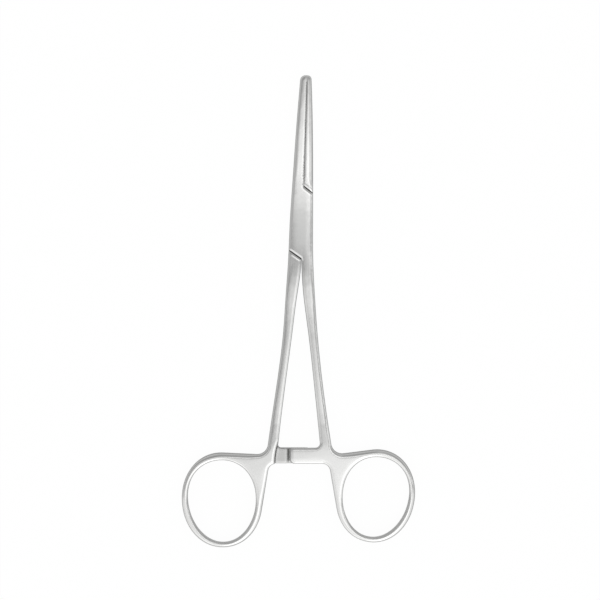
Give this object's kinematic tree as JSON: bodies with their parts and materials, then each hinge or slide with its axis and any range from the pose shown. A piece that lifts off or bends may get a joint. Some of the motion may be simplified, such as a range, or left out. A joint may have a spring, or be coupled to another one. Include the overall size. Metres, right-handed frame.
{
  "type": "hemostat forceps",
  "caption": "Straight box-lock hemostat with toothed jaws, slender shanks, an interlocking ratchet and oval finger rings.",
  "frame": {"origin": "on the pivot's axis at the back face of the lock, the face on which the closed instrument lies", "axes": "+Y along the instrument to the jaw tips, +Z out of the front face, +X to the right seen from the front"},
  "size_m": [0.0692, 0.1402, 0.0036],
  "materials": {
    "satin_steel": "satin-polished stainless steel"
  },
  "bodies": {
    "box_side": {"box_half": "satin_steel", "pivot_pin": "satin_steel"},
    "tongue_side": {"tongue_half": "satin_steel"}
  },
  "joints": [
    {"name": "lock_pivot", "type": "hinge", "parent": "box_side", "child": "tongue_side", "pos_m": [0, 0, 0.0018], "axis": [0, 0, -1], "range_deg": [0, 65]}
  ]
}
